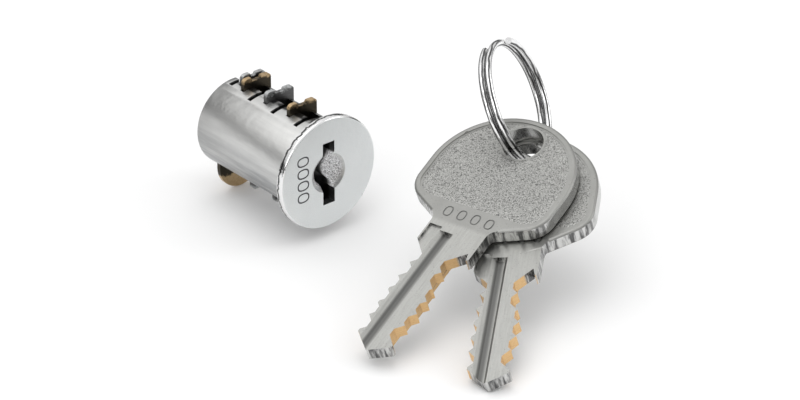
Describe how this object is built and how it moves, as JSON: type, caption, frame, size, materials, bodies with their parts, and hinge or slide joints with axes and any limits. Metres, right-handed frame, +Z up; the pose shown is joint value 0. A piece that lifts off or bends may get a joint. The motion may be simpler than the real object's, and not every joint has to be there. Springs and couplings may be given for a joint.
{
  "type": "removable lock core with keys",
  "caption": "Flanged round lock core with a bowed keyway, sprung wafers and a retaining wafer, with flat double-edged keys on a split ring.",
  "frame": {"origin": "on the core's axis, in the plane behind the flange where the core seats in its housing", "axes": "+X to the right of the face, +Y from the face towards the tail along the core's axis, +Z up along the keyway"},
  "size_m": [0.044, 0.0638, 0.0267],
  "materials": {
    "core_nickel": "satin nickel",
    "wafer_brass": "stamped, slightly dulled",
    "wafer_nickel": "stamped, plated",
    "spring_steel": "drawn wire",
    "key_nickel": "nickel plate, pebbled bow, bare brass on the cut edges",
    "ring_chrome": "polished"
  },
  "bodies": {
    "core": {"core_body": "core_nickel", "spring_1": "spring_steel", "spring_2": "spring_steel", "spring_3": "spring_steel", "spring_4": "spring_steel", "spring_5": "spring_steel", "spring_6": "spring_steel", "spring_7": "spring_steel", "retaining_spring": "spring_steel"},
    "wafer_1": {"wafer_1": "wafer_nickel"},
    "wafer_2": {"wafer_2": "wafer_brass"},
    "wafer_3": {"wafer_3": "wafer_nickel"},
    "wafer_4": {"wafer_4": "wafer_nickel"},
    "wafer_5": {"wafer_5": "wafer_nickel"},
    "wafer_6": {"wafer_6": "wafer_brass"},
    "wafer_7": {"wafer_7": "wafer_nickel"},
    "retaining_wafer": {"retaining_wafer": "wafer_brass"},
    "ring": {"split_ring": "ring_chrome"},
    "key_1": {"key_1": "key_nickel"},
    "key_2": {"key_2": "key_nickel"}
  },
  "joints": [
    {"name": "wafer_1_slide", "type": "slide", "parent": "core", "child": "wafer_1", "axis": [0, 0, 1], "range_m": [0, 0.002], "stiffness_N_per_m": 100, "springref_m": -0.002, "deforming": ["spring_1"]},
    {"name": "wafer_2_slide", "type": "slide", "parent": "core", "child": "wafer_2", "axis": [0, 0, -1], "range_m": [0, 0.002], "stiffness_N_per_m": 100, "springref_m": -0.002, "deforming": ["spring_2"]},
    {"name": "wafer_3_slide", "type": "slide", "parent": "core", "child": "wafer_3", "axis": [0, 0, 1], "range_m": [0, 0.002], "stiffness_N_per_m": 100, "springref_m": -0.002, "deforming": ["spring_3"]},
    {"name": "wafer_4_slide", "type": "slide", "parent": "core", "child": "wafer_4", "axis": [0, 0, -1], "range_m": [0, 0.002], "stiffness_N_per_m": 100, "springref_m": -0.002, "deforming": ["spring_4"]},
    {"name": "wafer_5_slide", "type": "slide", "parent": "core", "child": "wafer_5", "axis": [0, 0, 1], "range_m": [0, 0.002], "stiffness_N_per_m": 100, "springref_m": -0.002, "deforming": ["spring_5"]},
    {"name": "wafer_6_slide", "type": "slide", "parent": "core", "child": "wafer_6", "axis": [0, 0, -1], "range_m": [0, 0.002], "stiffness_N_per_m": 100, "springref_m": -0.002, "deforming": ["spring_6"]},
    {"name": "wafer_7_slide", "type": "slide", "parent": "core", "child": "wafer_7", "axis": [0, 0, -1], "range_m": [0, 0.002], "stiffness_N_per_m": 100, "springref_m": -0.002, "deforming": ["spring_7"]},
    {"name": "retaining_slide", "type": "slide", "parent": "core", "child": "retaining_wafer", "axis": [0, 0, 1], "range_m": [0, 0.0032], "stiffness_N_per_m": 100, "springref_m": -0.002, "deforming": ["retaining_spring"]},
    {"name": "ring_lift", "type": "slide", "parent": "core", "child": "ring", "axis": [0, 0, 1], "range_m": [0, 0.05]},
    {"name": "key_1_swing", "type": "hinge", "parent": "ring", "child": "key_1", "pos_m": [0.01524, -0.0213, 0.00644], "axis": [-0.3693, -0.0941, 0.9245], "range_deg": [-25, 60]},
    {"name": "key_2_swing", "type": "hinge", "parent": "ring", "child": "key_2", "pos_m": [0.01565, -0.02141, 0.00415], "axis": [-0.3693, -0.0941, 0.9245], "range_deg": [-60, 40]}
  ]
}
